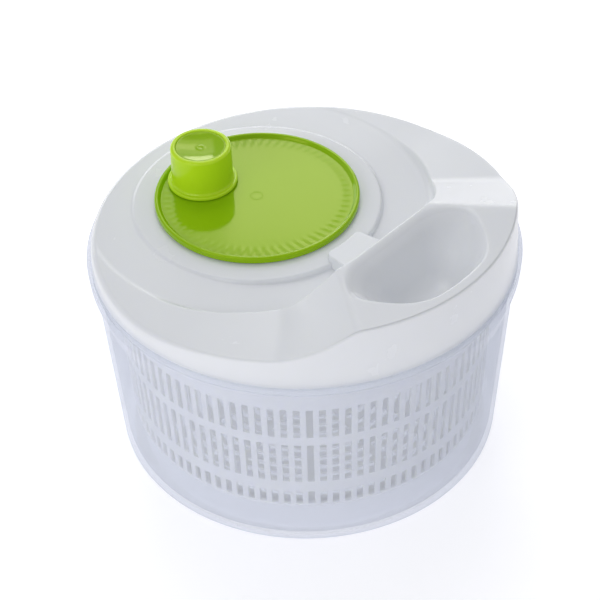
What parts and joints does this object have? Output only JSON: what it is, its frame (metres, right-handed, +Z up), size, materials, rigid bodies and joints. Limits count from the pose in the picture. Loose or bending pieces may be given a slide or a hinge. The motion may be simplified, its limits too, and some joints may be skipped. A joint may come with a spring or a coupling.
{
  "type": "salad spinner",
  "caption": "Crank-driven salad spinner: translucent bowl, slotted basket, and a lid with a grip, a geared crank disc and a turning knob.",
  "frame": {"origin": "centre of the bowl's underside, on the surface it stands on", "axes": "+Z up along the basket's axis, +X towards the lid's finger grip, crank disc towards -X"},
  "size_m": [0.24, 0.24, 0.163],
  "materials": {
    "bowl_plastic": "translucent, pale blue, polished",
    "white_plastic": "white, glossy",
    "lid_plastic": "white, satin gloss",
    "green_plastic": "lime green, high gloss",
    "gear_plastic": "white acetal, matt",
    "steel": "stainless, satin"
  },
  "bodies": {
    "bowl": {"bowl": "bowl_plastic"},
    "pivot": {"pivot_cap": "gear_plastic"},
    "basket": {"basket": "white_plastic", "basket_floor": "white_plastic", "basket_hub": "white_plastic"},
    "lid": {"lid_shell": "lid_plastic", "shaft_bush": "gear_plastic", "crank_bush": "gear_plastic"},
    "drive": {"drive_shaft": "steel", "pinion": "gear_plastic", "thrust_washer": "gear_plastic", "drive_plate": "white_plastic", "drive_washer": "steel", "drive_screw": "steel"},
    "crank": {"crank_disc": "green_plastic", "ring_gear": "gear_plastic", "crank_washer": "steel", "crank_screw": "steel", "knob_washer": "steel", "knob_screw": "steel"},
    "knob": {"knob": "green_plastic", "knob_cap": "green_plastic"}
  },
  "joints": [
    {"name": "lid_lift", "type": "slide", "parent": "bowl", "child": "lid", "axis": [0, 0, 1], "range_m": [0, 0.32]},
    {"name": "basket_spin", "type": "hinge", "parent": "bowl", "child": "pivot", "pos_m": [0, 0, 0.012], "axis": [0, 0, 1], "continuous": true},
    {"name": "basket_lift", "type": "slide", "parent": "pivot", "child": "basket", "axis": [0, 0, 1], "range_m": [0, 0.16]},
    {"name": "drive_spin", "type": "hinge", "parent": "lid", "child": "drive", "pos_m": [0, 0, 0.122], "axis": [0, 0, 1], "continuous": true},
    {"name": "crank_spin", "type": "hinge", "parent": "lid", "child": "crank", "pos_m": [-0.036, 0, 0.124], "axis": [0, 0, 1], "continuous": true},
    {"name": "knob_spin", "type": "hinge", "parent": "crank", "child": "knob", "pos_m": [-0.06845, -0.0108, 0.15], "axis": [0, 0, 1], "continuous": true}
  ],
  "couplings": [
    {"joint": "basket_lift", "follows": "lid_lift", "ratio": 0.5},
    {"joint": "drive_spin", "follows": "basket_spin", "ratio": 1},
    {"joint": "crank_spin", "follows": "basket_spin", "ratio": 0.27273}
  ]
}
